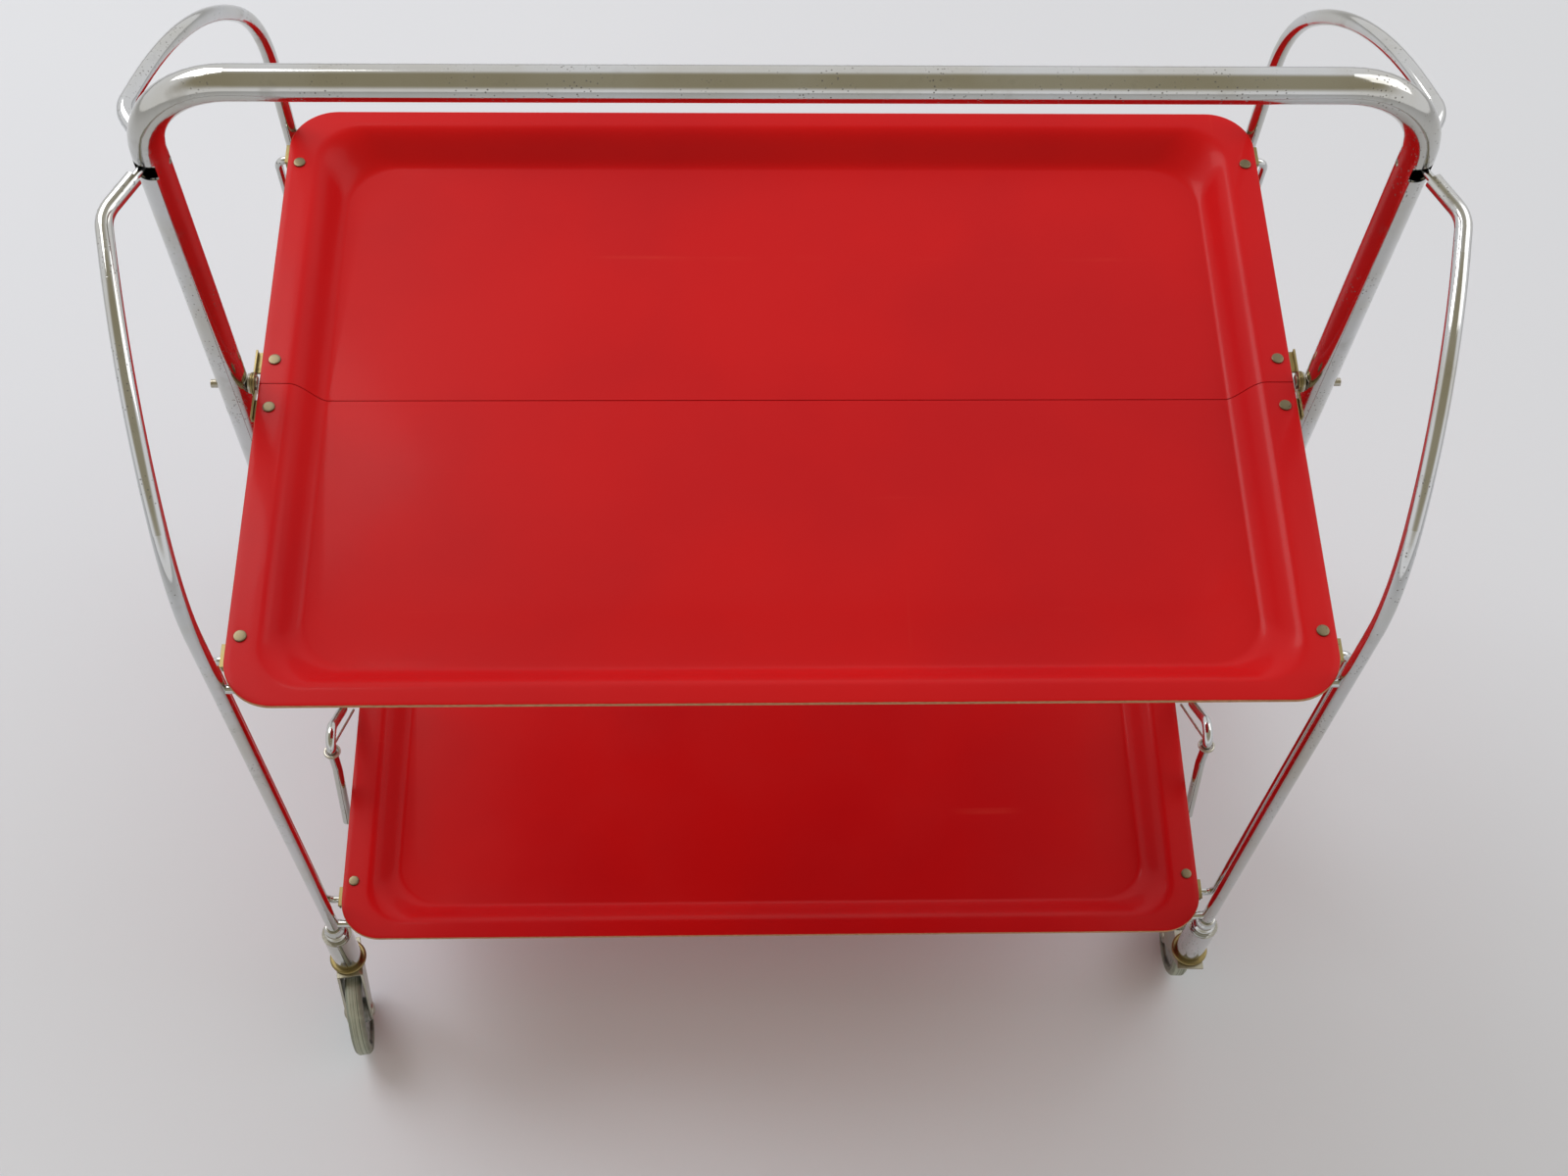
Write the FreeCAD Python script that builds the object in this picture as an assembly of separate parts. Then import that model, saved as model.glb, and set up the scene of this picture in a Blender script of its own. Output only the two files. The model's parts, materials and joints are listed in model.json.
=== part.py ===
import FreeCAD, Part
import math
import os

# Folding bar cart, millimetres. Floor at Z = 0, width along X, front towards -Y.
# Two dished trays are split along Y = 0 and fold up about pins in a chrome handle frame.
# Four bent legs on swivel casters turn about pivots in the handle frame.

# Trays
rim_height = 510.0            # rim of the upper tray above the floor
lower_rim_lift = 24.7         # lower rim above the foot of a caster's collar
upper_side_room = 14.5        # short edge of the upper tray to the axis of an upright
lower_side_room = 18.5
tray_depth = 416.0
tray_corner_r = 28.0
tray_wall = 3.0
dish_depth = 18.0
side_flange = 16.0            # flat rim at the two short sides
end_flange = 9.5              # flat lip along the front and the rear
side_slope = 21.0             # plan width of the sloping wall at the short sides
end_slope = 22.5              # plan width of the sloping wall at the front and the rear
dish_corner_r = 26.0
floor_corner_r = 30.0
fold_gap = 0.6                # between the two halves of a tray

# Handle frame
tube_r = 9.0
tube_wall = 1.5
frame_half_width = 317.0      # to the axis of each upright
bar_rise = 248.0              # axis of the handle bar above the upper rim
handle_bend_r = 48.0
upright_tail = 12.0           # upright below the lower hinge pin
cap_lip = 3.0
cap_plug = 10.0

# Tray hinges on the handle frame
hinge_pin_r = 2.5
pin_head_r = 4.0
pin_head_t = 0.8
pin_stand_out = 3.8           # pin end beyond the outer face of the upright
washer_r = 6.0
washer_t = 1.2
ear_t = 1.2
ear_eye_r = 6.5
hinge_plate_near = 9.5        # plate of a hinge bracket, measured from the fold line
hinge_plate_far = 24.0
plate_reach = 8.0             # bracket plate inwards of its rivet
plate_t = 1.5

# Rivets
rivet_edge = 7.5              # rivet axis from the short edge of the tray
hinge_rivet_y = 16.7
link_rivet_end = 42.0         # rivet of a link bracket from the long edge of the tray
rivet_head_r = 3.5
rivet_head_t = 1.1
rivet_shank_r = 2.0
rivet_tail_r = 3.0
rivet_tail_t = 1.0

# Link rods between the trays
link_rod_r = 2.5
link_bend_r = 6.0
link_end = 32.0               # link rod from the long edge of the trays
link_drop = 9.0               # pivot of a link rod below the rim
link_plate_back = 5.0         # bracket plate behind its rivet
link_arm_half = 7.0
link_ear_gap = 1.5            # ear beyond the short edge of its own tray
link_eye_r = 6.0              # round end of the ear about the pivot
link_peg_in = 2.4             # peg of the rod inwards of its bracket ear

# Legs
leg_r = 4.5
leg_inset = 12.5              # axis of a leg inwards of the upright
leg_end = 13.0                # axis of a leg from the long edge of the trays
leg_lean = 11.4               # degrees, plane of the bent top turned outwards
leg_lower_bend_r = 100.0
leg_upper_bend_r = 200.0
shoulder_run = 22.5           # straight run from the upper bend to the shoulder corner
shoulder_y = 34.2             # shoulder corner from the middle plane
shoulder_drop = 1.4           # shoulder corner below the pivot
shoulder_bend_r = 20.0
tongue_r = 2.2
tongue_gap = 13.0             # end of the full leg bar from the pivot
tongue_root = 6.0             # tongue inside the leg bar
eye_r = 4.7
eye_t = 2.8
eye_split = 0.6               # between the eyes of the front leg and the rear leg
pivot_below_bar = 55.0        # leg pivot below the axis of the handle bar
pivot_pin_r = 2.0
slot_height = 10.0
slot_side_gap = 2.2
slot_inner_room = 4.0         # slot wider towards the trays
peg_r = 2.5
peg_length = 14.0             # rest peg inwards of the leg surface

# Stay rods beside the lower tray
stay_r = 3.5
stay_inset = 11.0             # axis of a stay rod inwards of the upright
stay_bend_r = 10.0
stay_foot_bend_r = 20.0
stay_root_y = 9.0
stay_root_z = -6.0            # heights here are from the lower rim
stay_run_y = 43.0
stay_run_z = 20.0
stay_top_y = 85.0
stay_top_z = 66.0
stay_side_y = 89.0
stay_side_z = 20.0
stay_end_y = 106.0
stay_end_z = -35.0
hook_wire_r = 1.1
hook_ring_gap = 0.3
hook_tail_r = 0.9
hook_ring_turn = 50.0         # degrees, keeps the seam of the ring off its tail
hook_end_inset = 15.5         # free end of the wire inwards of the upright
hook_end_y = 36.0
hook_end_z = 4.0

# Casters
wheel_r = 32.0
wheel_width = 11.5
wheel_crown = 2.0
wheel_web = 6.0
wheel_hub_r = 9.0
wheel_rim_t = 7.0
caster_trail = 27.0
axle_r = 3.0
axle_head_r = 5.0
axle_head_t = 2.0
fork_t = 2.0
fork_side_gap = 1.5
fork_top_gap = 5.0            # fork crown above the wheel
fork_crown_half = 14.5
fork_eye_r = 8.0
stem_r = 4.0
stem_length = 37.0
caster_washer_r = 13.0
caster_washer_t = 3.0
barrel_r = 10.3
barrel_length = 48.0
barrel_seam = 0.8
collar_length = 14.0
collar_foot_r = 7.8
collar_ring_r = 7.0
collar_neck_r = 5.8
collar_height_shares = (0.25, 0.375, 0.5, 0.75, 0.875)  # corners of the rings, from its foot
socket_depth = 12.0           # leg bar inside the collar

# Clearances
run_clear = 0.06              # radial, a pin in a turning eye
seat_clear = 0.02             # radial, a pin held in its own body
side_clear = 0.2              # between plates that turn beside each other
open_clear = 0.4              # radial, at the lower end of a link rod
rest_gap = 0.3                # under a tray that lies on its pegs
overrun = 1.0                 # cutters past the faces they cut
turn_step = 1e-9              # radians, where the search for the turn of the bends ends

# Swivel angle of each caster as it stands, degrees about Z, trail towards -Y at zero
CASTER_TURN = {
    ("front", "left"): 9.0,
    ("front", "right"): 179.0,
    ("rear", "left"): 168.0,
    ("rear", "right"): 215.0,
}
SIDES = {"left": -1, "right": 1}
ENDS = {"front": -1, "rear": 1}

# Places that follow from the sizes
wheel_top = wheel_r + wheel_r
crown_z = wheel_top + fork_top_gap
washer_z = crown_z + fork_t
barrel_z = washer_z + caster_washer_t + rest_gap
collar_z = barrel_z + barrel_length
leg_foot_z = collar_z + collar_length - socket_depth
lower_rim = collar_z + lower_rim_lift
bar_z = rim_height + bar_rise
pivot_z = bar_z - pivot_below_bar
leg_x = frame_half_width - leg_inset
leg_y = tray_depth / 2 - leg_end
link_y = tray_depth / 2 - link_end
link_rivet_y = tray_depth / 2 - link_rivet_end
stay_x = frame_half_width - stay_inset
upper_tray_width = (frame_half_width - upper_side_room) * 2
lower_tray_width = (frame_half_width - lower_side_room) * 2
LEVELS = {"upper": (rim_height, upper_tray_width), "lower": (lower_rim, lower_tray_width)}
upright_foot = lower_rim - upright_tail
upright_inner = frame_half_width - tube_r
washer_in = upright_inner - washer_t
rear_ear_in = washer_in - side_clear - ear_t
front_ear_in = rear_ear_in - side_clear - ear_t
pin_in = front_ear_in - side_clear - pin_head_t
EAR_IN = {"front": front_ear_in, "rear": rear_ear_in}
LINK_EAR_IN = {level: width / 2 + link_ear_gap for level, (_, width) in LEVELS.items()}
link_rod_x = max(LINK_EAR_IN.values()) + ear_t + side_clear + link_bend_r

X_AXIS = FreeCAD.Vector(1, 0, 0)
Y_AXIS = FreeCAD.Vector(0, 1, 0)
Z_AXIS = FreeCAD.Vector(0, 0, 1)
ORIGIN = FreeCAD.Vector(0, 0, 0)


def vec(x, y, z):
    return FreeCAD.Vector(x, y, z)


def block(x0, x1, y0, y1, z0, z1):
    """Box between two corners given in any order."""
    low = vec(min(x0, x1), min(y0, y1), min(z0, z1))
    high = vec(max(x0, x1), max(y0, y1), max(z0, z1))
    size = high.sub(low)
    return Part.makeBox(size.x, size.y, size.z, low)


def bar_along_x(radius, x0, x1, y, z):
    """Round bar along X between two places given in any order."""
    return Part.makeCylinder(radius, abs(x1 - x0), vec(min(x0, x1), y, z), X_AXIS)


def bar_up(radius, z0, z1, x=0.0, y=0.0):
    """Round bar along Z."""
    return Part.makeCylinder(radius, z1 - z0, vec(x, y, z0), Z_AXIS)


def unit(vector):
    """Copy of a vector at length one."""
    return vec(vector.x, vector.y, vector.z).normalize()


def bent_path(points, radii):
    """Wire of straight runs through the points, with a tangent arc of its radius at each inner one."""
    edges = []
    start = points[0]
    for before, corner, after, radius in zip(points, points[1:], points[2:], radii):
        come = unit(corner.sub(before))
        leave = unit(after.sub(corner))
        half_turn = come.getAngle(leave) / 2
        reach = radius * math.tan(half_turn)
        inwards = unit(leave.sub(come))
        first = corner.sub(come * reach)
        last = corner.add(leave * reach)
        middle = corner.add(inwards * (radius / math.cos(half_turn) - radius))
        if first.sub(start).Length > seat_clear:
            edges.append(Part.LineSegment(start, first).toShape())
            arc_start = first
        else:
            arc_start = start
        edges.append(Part.Arc(arc_start, middle, last).toShape())
        start = last
    edges.append(Part.LineSegment(start, points[-1]).toShape())
    return Part.Wire(edges)


def bent_rod(points, radii, radius):
    """Round rod swept along a bent path."""
    path = bent_path(points, radii)
    heading = points[1].sub(points[0])
    section = Part.Wire([Part.makeCircle(radius, points[0], heading)])
    return path.makePipeShell([section], True, False)


def rounded_outline(half_x, half_y, radius, z):
    """Closed outline of a rectangle with round corners, level at z."""
    diagonal = radius * math.sqrt(0.5)
    in_x = half_x - radius
    in_y = half_y - radius
    edges = []
    corners = [(1, 1), (-1, 1), (-1, -1), (1, -1)]
    for number, (sx, sy) in enumerate(corners):
        on_x = vec(sx * half_x, sy * in_y, z)
        on_y = vec(sx * in_x, sy * half_y, z)
        middle = vec(sx * (in_x + diagonal), sy * (in_y + diagonal), z)
        first, last = (on_x, on_y) if sx * sy > 0 else (on_y, on_x)
        edges.append(Part.Arc(first, middle, last).toShape())
        next_x, next_y = corners[(number + 1) % len(corners)]
        if next_x != sx:
            follow = vec(next_x * in_x, next_y * half_y, z)
        else:
            follow = vec(next_x * half_x, next_y * in_y, z)
        edges.append(Part.LineSegment(last, follow).toShape())
    return Part.Wire(edges)


def dish(half_x, half_y, z):
    """Solid that fills the hollow of a tray whose rim is at z."""
    mouth_x = half_x - side_flange
    mouth_y = half_y - end_flange
    mouth = rounded_outline(mouth_x, mouth_y, dish_corner_r, z)
    floor = rounded_outline(mouth_x - side_slope, mouth_y - end_slope, floor_corner_r, z - dish_depth)
    return Part.makeLoft([floor, mouth], True, True)


def tray_shell(width, rim):
    """Whole tray before it is split: flat rim, sloping walls and floor."""
    half_x = width / 2
    half_y = tray_depth / 2
    outline = rounded_outline(half_x, half_y, tray_corner_r, rim - tray_wall)
    flange = Part.Face(outline).extrude(vec(0, 0, tray_wall))
    body = flange.fuse(dish(half_x, half_y, rim - tray_wall))
    mouth = rounded_outline(half_x - side_flange, half_y - end_flange, dish_corner_r, rim)
    clear = Part.Face(mouth).extrude(vec(0, 0, overrun))
    return body.cut(dish(half_x, half_y, rim).fuse(clear)).removeSplitter()


def rivet_places(width, end):
    """Plan places of the rivets of one tray half, as (side, x, y)."""
    places = []
    for side in SIDES.values():
        x = side * (width / 2 - rivet_edge)
        places.append((side, x, ENDS[end] * hinge_rivet_y))
        places.append((side, x, ENDS[end] * link_rivet_y))
    return places


def tray_half(width, rim, end):
    """One half of a tray, drilled for its rivets."""
    sign = ENDS[end]
    half_x = width / 2 + overrun
    keep = block(-half_x, half_x, sign * fold_gap / 2, sign * (tray_depth / 2 + overrun),
                 rim - dish_depth - tray_wall - overrun, rim + overrun)
    half = tray_shell(width, rim).common(keep)
    for _, x, y in rivet_places(width, end):
        half = half.cut(bar_up(rivet_shank_r + seat_clear, rim - tray_wall - overrun, rim + overrun, x, y))
    return half


def rivets(width, rim, end):
    """Rivets of one tray half, each a head, a shank and a closed tail."""
    under = rim - tray_wall - plate_t
    solids = []
    for _, x, y in rivet_places(width, end):
        head = Part.makeCone(rivet_head_r, rivet_head_r - rivet_head_t / 2, rivet_head_t,
                             vec(x, y, rim), Z_AXIS)
        shank = bar_up(rivet_shank_r, under, rim, x, y)
        tail = bar_up(rivet_tail_r, under - rivet_tail_t, under, x, y)
        solids.append(head.fuse(shank).fuse(tail).removeSplitter())
    return Part.makeCompound(solids)


def hinge_brackets(width, rim, end):
    """Left and right brackets that carry one tray half on its hinge pins."""
    sign = ENDS[end]
    top = rim - tray_wall
    solids = []
    for side in SIDES.values():
        rivet_x = width / 2 - rivet_edge
        ear_in = side * EAR_IN[end]
        ear_out = side * (EAR_IN[end] + ear_t)
        near = sign * hinge_plate_near
        far = sign * hinge_plate_far
        plate = block(side * (rivet_x - plate_reach), ear_out, near, far, top - plate_t, top)
        strap = block(ear_in, ear_out, 0, far, top - plate_t, rim)
        eye = bar_along_x(ear_eye_r, ear_in, ear_out, 0, rim)
        bracket = plate.fuse(strap).fuse(eye)
        bore = bar_along_x(hinge_pin_r + run_clear, ear_in - side * overrun, ear_out + side * overrun, 0, rim)
        hole = bar_up(rivet_shank_r + seat_clear, top - plate_t - overrun, top + overrun,
                      side * rivet_x, sign * hinge_rivet_y)
        solids.append(bracket.cut(bore).cut(hole).removeSplitter())
    return Part.makeCompound(solids)


def link_brackets(level, end, bore_clear):
    """Left and right brackets at the outer corners of one tray half, which hold the link rods."""
    rim, width = LEVELS[level]
    sign = ENDS[end]
    top = rim - tray_wall
    pivot = rim - link_drop
    solids = []
    for side in SIDES.values():
        rivet_x = width / 2 - rivet_edge
        ear_in = side * LINK_EAR_IN[level]
        ear_out = side * (LINK_EAR_IN[level] + ear_t)
        near = sign * (link_y - link_arm_half)
        far = sign * (link_y + link_arm_half)
        back = sign * (link_rivet_y - link_plate_back)
        seat = block(side * (rivet_x - plate_reach), side * (rivet_x + link_plate_back), back, far,
                     top - plate_t, top)
        arm = block(side * rivet_x, ear_out, near, far, top - plate_t, top)
        tab = block(ear_in, ear_out, sign * (link_y - link_eye_r), sign * (link_y + link_eye_r), pivot, top)
        eye = bar_along_x(link_eye_r, ear_in, ear_out, sign * link_y, pivot)
        bore = bar_along_x(link_rod_r + bore_clear, ear_in - side * overrun, ear_out + side * overrun,
                           sign * link_y, pivot)
        hole = bar_up(rivet_shank_r + seat_clear, top - plate_t - overrun, top + overrun,
                      side * rivet_x, sign * link_rivet_y)
        solids.append(seat.fuse(arm).fuse(tab).fuse(eye).cut(bore).cut(hole).removeSplitter())
    return Part.makeCompound(solids)


def link_rod(end, side):
    """Rod with both ends turned inwards, from the upper tray half to the lower one."""
    sx = SIDES[side]
    y = ENDS[end] * link_y
    rod_x = sx * link_rod_x
    top = rim_height - link_drop
    foot = lower_rim - link_drop
    top_x = sx * (LINK_EAR_IN["upper"] - link_peg_in)
    foot_x = sx * (LINK_EAR_IN["lower"] - link_peg_in)
    points = [vec(top_x, y, top), vec(rod_x, y, top), vec(rod_x, y, foot), vec(foot_x, y, foot)]
    return bent_rod(points, [link_bend_r, link_bend_r], link_rod_r)


def hinge_pins(rim):
    """Left and right pins that carry both halves of one tray."""
    solids = []
    for side in SIDES.values():
        outer = frame_half_width + tube_r + pin_stand_out
        shank = bar_along_x(hinge_pin_r, side * pin_in, side * outer, 0, rim)
        head = bar_along_x(pin_head_r, side * pin_in, side * (pin_in + pin_head_t), 0, rim)
        solids.append(shank.fuse(head).removeSplitter())
    return Part.makeCompound(solids)


def hinge_washers():
    """Spacing washers between the bracket eyes and the uprights."""
    solids = []
    for side in SIDES.values():
        for rim, _ in LEVELS.values():
            ring = bar_along_x(washer_r, side * washer_in, side * upright_inner, 0, rim)
            bore = bar_along_x(hinge_pin_r + seat_clear, side * (washer_in - overrun),
                               side * (upright_inner + overrun), 0, rim)
            solids.append(ring.cut(bore))
    return Part.makeCompound(solids)


def eye_centre(end, side):
    """Centre of a leg's eye on the pivot pin: front eyes outwards of the rear ones."""
    shift = -ENDS[end] * (eye_t + eye_split) / 2
    return vec(SIDES[side] * (frame_half_width + shift), 0, pivot_z)


def leg_turn():
    """Turn of each large bend, in radians, that carries a leg from its foot line to its shoulder."""
    reach = (leg_y - shoulder_y) / math.cos(math.radians(leg_lean))
    low, high = 0.0, math.pi / 3
    while high - low > turn_step:
        turn = (low + high) / 2
        lower_run = leg_lower_bend_r * (1 - math.cos(turn))
        upper_run = leg_upper_bend_r * (math.cos(turn) - math.cos(turn + turn))
        if lower_run + upper_run + shoulder_run * math.sin(turn + turn) < reach:
            low = turn
        else:
            high = turn
    return low


def leg_points(end, side):
    """Corners of a leg's centre line, from the foot to the eye."""
    sx = SIDES[side]
    sy = ENDS[end]
    lean = math.radians(leg_lean)
    turn = leg_turn()
    inwards = vec(sx * math.sin(lean), -sy * math.cos(lean), 0)
    reach_low = leg_lower_bend_r * math.tan(turn / 2)
    reach_high = leg_upper_bend_r * math.tan(turn / 2)
    middle_way = inwards * math.sin(turn) + Z_AXIS * math.cos(turn)
    upper_way = inwards * math.sin(turn + turn) + Z_AXIS * math.cos(turn + turn)
    foot = vec(sx * leg_x, sy * leg_y, leg_foot_z)
    middle = middle_way * (reach_low + reach_high)
    upper = upper_way * (reach_high + shoulder_run)
    low = vec(sx * leg_x, sy * leg_y, pivot_z - shoulder_drop - upper.z - middle.z)
    high = low.add(middle)
    shoulder = high.add(upper)
    return [foot, low, high, shoulder, eye_centre(end, side)]


def end_heading(end, side):
    """Direction from a leg's eye out along its end run."""
    points = leg_points(end, side)
    return unit(points[-2].sub(points[-1]))


def leg(end, side):
    """Bent leg bar with a tongue and an eye at its upper end."""
    points = leg_points(end, side)
    centre = points[-1]
    heading = end_heading(end, side)
    radii = [leg_lower_bend_r, leg_upper_bend_r, shoulder_bend_r]
    bar = bent_rod(points[:-1] + [centre.add(heading * tongue_gap)], radii, leg_r)
    tongue = Part.makeCylinder(tongue_r, tongue_gap + tongue_root, centre, heading)
    eye = bar_along_x(eye_r, centre.x - eye_t / 2, centre.x + eye_t / 2, 0, pivot_z)
    beside = bar_along_x(eye_r + overrun, centre.x - eye_t / 2, centre.x + eye_t / 2, 0, pivot_z)
    across = tube_r + overrun
    core = bar_along_x(eye_r + side_clear, centre.x - across, centre.x + across, 0, pivot_z)
    trimmed = tongue.cut(core.cut(beside))
    bore = bar_along_x(pivot_pin_r + run_clear, centre.x - eye_t, centre.x + eye_t, 0, pivot_z)
    return bar.fuse(trimmed).fuse(eye).cut(bore).removeSplitter()


def leg_pegs(end, side, leg_shape):
    """Rest pegs under the corners of the two trays."""
    sx = SIDES[side]
    y = ENDS[end] * leg_y
    solids = []
    for rim, _ in LEVELS.values():
        z = rim - tray_wall - peg_r - rest_gap
        peg = bar_along_x(peg_r, sx * leg_x, sx * (leg_x - leg_r - peg_length), y, z)
        solids.append(peg.cut(leg_shape))
    return Part.makeCompound(solids)


def pivot_pins():
    """Pins inside the uprights on which the legs turn."""
    half = tube_r - tube_wall / 2
    solids = []
    for side in SIDES.values():
        x = side * frame_half_width
        solids.append(bar_along_x(pivot_pin_r, x - half, x + half, 0, pivot_z))
    return Part.makeCompound(solids)


def leg_slot(end, side):
    """Cutter for the slot through which a leg's tongue enters the upright."""
    centre = eye_centre(end, side)
    heading = end_heading(end, side)
    half = tongue_r + slot_side_gap
    length = tube_r + tube_r
    inner = ENDS[end] * SIDES[side]
    start = -half - max(0, -inner) * slot_inner_room
    cutter = Part.makeBox(length, half + half + slot_inner_room, slot_height, vec(0, start, -slot_height / 2))
    cutter.rotate(ORIGIN, Z_AXIS, math.degrees(math.atan2(heading.y, heading.x)))
    cutter.translate(centre)
    return cutter


def handle_tube():
    """Bent tube of the two uprights and the handle bar, with its holes and slots."""
    points = [vec(-frame_half_width, 0, upright_foot), vec(-frame_half_width, 0, bar_z),
              vec(frame_half_width, 0, bar_z), vec(frame_half_width, 0, upright_foot)]
    bends = [handle_bend_r, handle_bend_r]
    tube = bent_rod(points, bends, tube_r).cut(bent_rod(points, bends, tube_r - tube_wall))
    for side_name, side in SIDES.items():
        inner = side * (upright_inner - overrun)
        outer = side * (frame_half_width + tube_r + overrun)
        for rim, _ in LEVELS.values():
            tube = tube.cut(bar_along_x(hinge_pin_r + seat_clear, inner, outer, 0, rim))
        tube = tube.cut(bar_along_x(pivot_pin_r + seat_clear, inner, outer, 0, pivot_z))
        for end_name in ENDS:
            tube = tube.cut(leg_slot(end_name, side_name))
    return tube


def tube_caps():
    """Plugs that close the lower ends of the uprights."""
    solids = []
    for side in SIDES.values():
        x = side * frame_half_width
        lip = bar_up(tube_r, upright_foot - cap_lip, upright_foot, x)
        plug_top = min(upright_foot + cap_plug, lower_rim - hinge_pin_r - seat_clear - overrun)
        plug = bar_up(tube_r - tube_wall - seat_clear, upright_foot - cap_lip, plug_top, x)
        solids.append(lip.fuse(plug).removeSplitter())
    return Part.makeCompound(solids)


def stay_points(side):
    """Corners of the centre line of a stay rod."""
    sx = SIDES[side]
    x = sx * stay_x
    return [
        vec(sx * frame_half_width, -stay_root_y, lower_rim + stay_root_z),
        vec(x, -stay_run_y, lower_rim + stay_run_z),
        vec(x, -stay_top_y, lower_rim + stay_top_z),
        vec(x, -stay_side_y, lower_rim + stay_side_z),
        vec(x, -stay_end_y, lower_rim + stay_end_z),
    ]


def stay_rods():
    """Bent rods that stand out from the uprights beside the lower tray."""
    solids = []
    for side_name, side in SIDES.items():
        radii = [stay_foot_bend_r, stay_bend_r, stay_foot_bend_r]
        rod = bent_rod(stay_points(side_name), radii, stay_r)
        upright = bar_up(tube_r, upright_foot - cap_lip, bar_z, side * frame_half_width)
        solids.append(max(rod.cut(upright).Solids, key=lambda solid: solid.Volume))
    return Part.makeCompound(solids)


def stay_hooks():
    """Wire hooks on the bends of the stay rods, each a ring and a straight tail towards the hinge."""
    solids = []
    for side in SIDES:
        points = stay_points(side)
        top, foot = points[2], points[3]
        way = unit(foot.sub(top))
        centre = top.add(foot) / 2
        ring_r = stay_r + hook_ring_gap + hook_wire_r
        ring = Part.makeTorus(ring_r, hook_wire_r, centre, way)
        ring.rotate(centre, way, hook_ring_turn)
        free_end = vec(SIDES[side] * (frame_half_width - hook_end_inset), -hook_end_y, lower_rim + hook_end_z)
        aside = free_end.sub(centre)
        root = centre.add(unit(aside.sub(way * aside.dot(way))) * ring_r)
        run = free_end.sub(root)
        tail = Part.makeCylinder(hook_tail_r, run.Length, root, run)
        solids.append(ring.fuse(tail))
    return Part.makeCompound(solids)


def turned(profile):
    """Solid of revolution about Z of a closed outline of (radius, height) points."""
    wire = Part.makePolygon([vec(radius, 0, height) for radius, height in profile + profile[:1]])
    return Part.Face(wire).revolve(ORIGIN, Z_AXIS, 360)


def collar():
    """Stacked rings that grip the foot of a leg."""
    bore = leg_r + seat_clear
    flare, waist, ring, ring_top, neck = (share * collar_length for share in collar_height_shares)
    profile = [
        (bore, 0),
        (collar_foot_r, 0),
        (collar_foot_r, flare),
        (collar_neck_r, waist),
        (collar_ring_r, ring),
        (collar_ring_r, ring_top),
        (collar_neck_r, neck),
        (collar_neck_r, collar_length),
        (bore, collar_length),
    ]
    return turned(profile).translate(vec(0, 0, collar_z))


def barrel():
    """Socket in which the stem of the fork turns, with the seam of its rolled sheet."""
    body = bar_up(barrel_r, barrel_z, collar_z)
    bore = bar_up(stem_r + run_clear, barrel_z - overrun, washer_z + stem_length + side_clear)
    seam = block(-barrel_seam / 2, barrel_seam / 2, -barrel_r - overrun, -barrel_r + barrel_seam,
                 barrel_z - overrun, collar_z + overrun)
    return body.cut(bore).cut(seam)


def fork():
    """Stamped fork: crown, two slanting prongs and the swivel stem."""
    inner = wheel_width / 2 + fork_side_gap
    outer = inner + fork_t
    crown = block(-outer, outer, -fork_crown_half, fork_crown_half, crown_z, washer_z)
    stem = bar_up(stem_r, crown_z, washer_z + stem_length)
    body = crown.fuse(stem)
    for side in SIDES.values():
        start = min(side * inner, side * outer)
        outline = Part.makePolygon([
            vec(start, fork_crown_half, washer_z),
            vec(start, -fork_crown_half, washer_z),
            vec(start, -caster_trail - fork_eye_r, wheel_r),
            vec(start, -caster_trail + fork_eye_r, wheel_r),
            vec(start, fork_crown_half, washer_z),
        ])
        prong = Part.Face(outline).extrude(vec(fork_t, 0, 0))
        lug = bar_along_x(fork_eye_r, side * inner, side * outer, -caster_trail, wheel_r)
        body = body.fuse(prong).fuse(lug)
    reach = outer + overrun
    return body.cut(bar_along_x(axle_r + seat_clear, -reach, reach, -caster_trail, wheel_r)).removeSplitter()


def caster_washer():
    """Washer between the fork and the barrel."""
    ring = bar_up(caster_washer_r, washer_z, washer_z + caster_washer_t)
    return ring.cut(bar_up(stem_r + seat_clear, washer_z - overrun, washer_z + caster_washer_t + overrun))


def axle():
    """Riveted axle of a wheel."""
    outer = wheel_width / 2 + fork_side_gap + fork_t
    shape = bar_along_x(axle_r, -outer, outer, -caster_trail, wheel_r)
    for side in SIDES.values():
        shape = shape.fuse(bar_along_x(axle_head_r, side * outer, side * (outer + axle_head_t),
                                       -caster_trail, wheel_r))
    return shape.removeSplitter()


def wheel():
    """Wheel with a crowned tread, a thinner web and a hub."""
    half = wheel_width / 2
    web = wheel_web / 2
    bore = axle_r + run_clear
    rim_in = wheel_r - wheel_rim_t
    hub = half + fork_side_gap - side_clear
    right = [(bore, hub), (wheel_hub_r, hub), (wheel_hub_r, web), (rim_in, web), (rim_in, half),
             (wheel_r - wheel_crown, half), (wheel_r, half - wheel_crown)]
    left = [(radius, -height) for radius, height in reversed(right)]
    shape = turned(right + left)
    shape.rotate(ORIGIN, Y_AXIS, 90)
    return shape.translate(vec(0, -caster_trail, wheel_r))


def caster_pieces(end, side):
    """Pieces of one caster at the foot of its leg, by the last part of their names."""
    pieces = {
        "collar": collar(),
        "barrel": barrel(),
        "fork": fork(),
        "washer": caster_washer(),
        "axle": axle(),
        "wheel": wheel(),
    }
    for name, shape in pieces.items():
        shape.rotate(ORIGIN, Z_AXIS, CASTER_TURN[(end, side)])
        shape.translate(vec(SIDES[side] * leg_x, ENDS[end] * leg_y, 0))
    return pieces


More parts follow.
